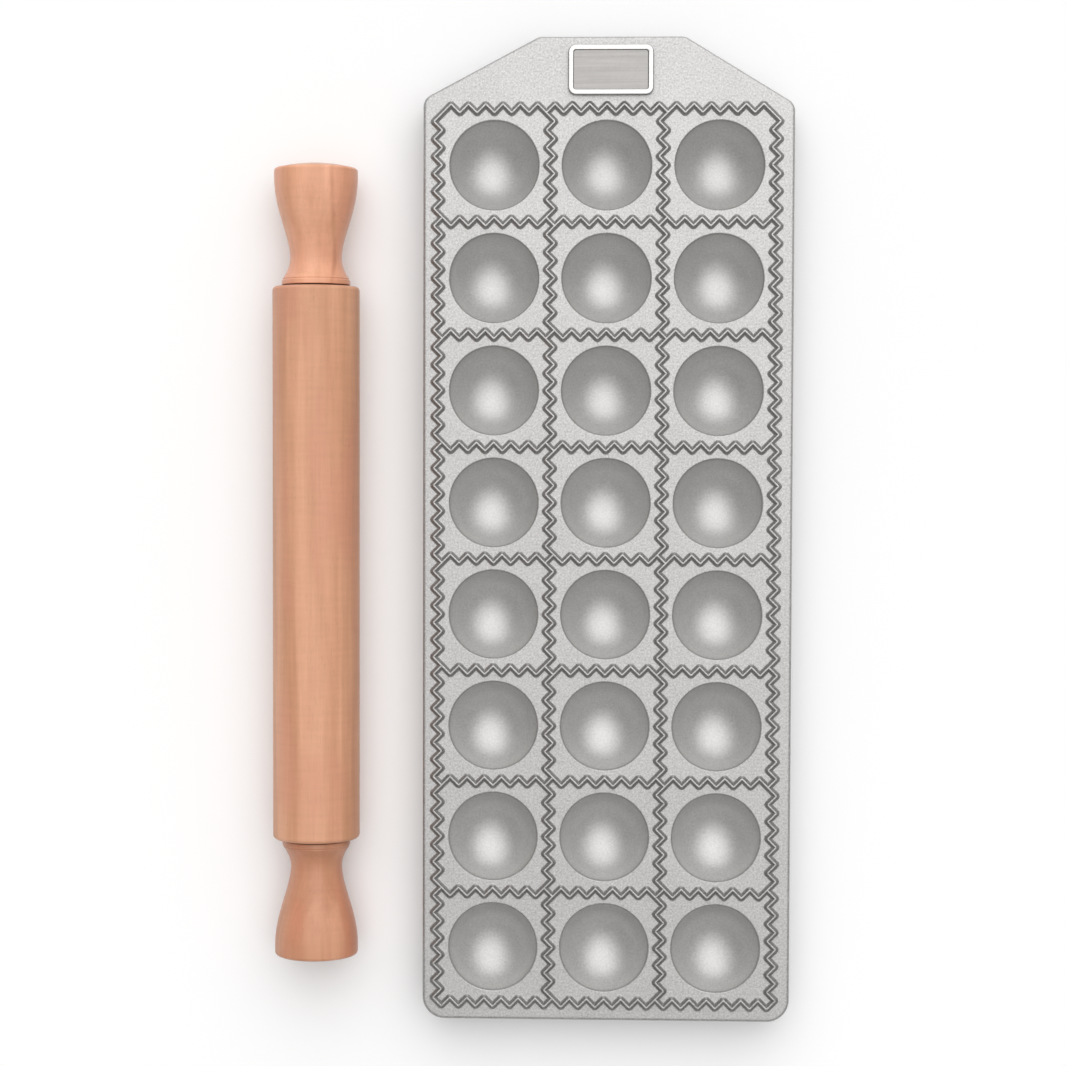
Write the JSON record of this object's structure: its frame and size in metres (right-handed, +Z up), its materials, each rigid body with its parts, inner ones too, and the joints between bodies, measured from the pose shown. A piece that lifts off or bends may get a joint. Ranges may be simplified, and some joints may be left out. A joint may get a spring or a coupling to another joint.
{
  "type": "ravioli mould",
  "caption": "Cast plate of round cups framed by zig-zag cutting ridges, for shaping filled pasta, with the small wooden rolling pin that seals and cuts it.",
  "frame": {"origin": "on the bench, under the centre of the box round the plate and the pin", "axes": "+X to the right of the plate seen from above, +Y along the plate towards the head end with the plaque, +Z up"},
  "size_m": [0.163, 0.308, 0.0273],
  "materials": {
    "cast_aluminium": "fine matt blasted casting, lightly satin",
    "polished_plate": "bright polished",
    "black_rubber": "matt",
    "roller_beech": "turned and sanded, unvarnished, fine straight grain",
    "handle_beech": "turned and sanded, slightly redder than the roller",
    "bright_steel": "bright drawn rod",
    "white_nylon": "natural nylon"
  },
  "bodies": {
    "mould": {"mould_plate": "cast_aluminium", "plaque": "polished_plate", "foot_front_left": "black_rubber", "foot_front_right": "black_rubber", "foot_back_left": "black_rubber", "foot_back_right": "black_rubber"},
    "pin": {"axle": "bright_steel", "handle_back": "handle_beech", "handle_front": "handle_beech"},
    "roller": {"roller": "roller_beech", "bush_back": "white_nylon", "bush_front": "white_nylon"}
  },
  "joints": [
    {"name": "pin_lift", "type": "slide", "parent": "mould", "child": "pin", "axis": [0, 0, 1], "range_m": [0, 0.1]},
    {"name": "roller_spin", "type": "hinge", "parent": "pin", "child": "roller", "pos_m": [-0.06788, -0.0103, 0.01365], "axis": [0, 1, 0], "continuous": true}
  ]
}
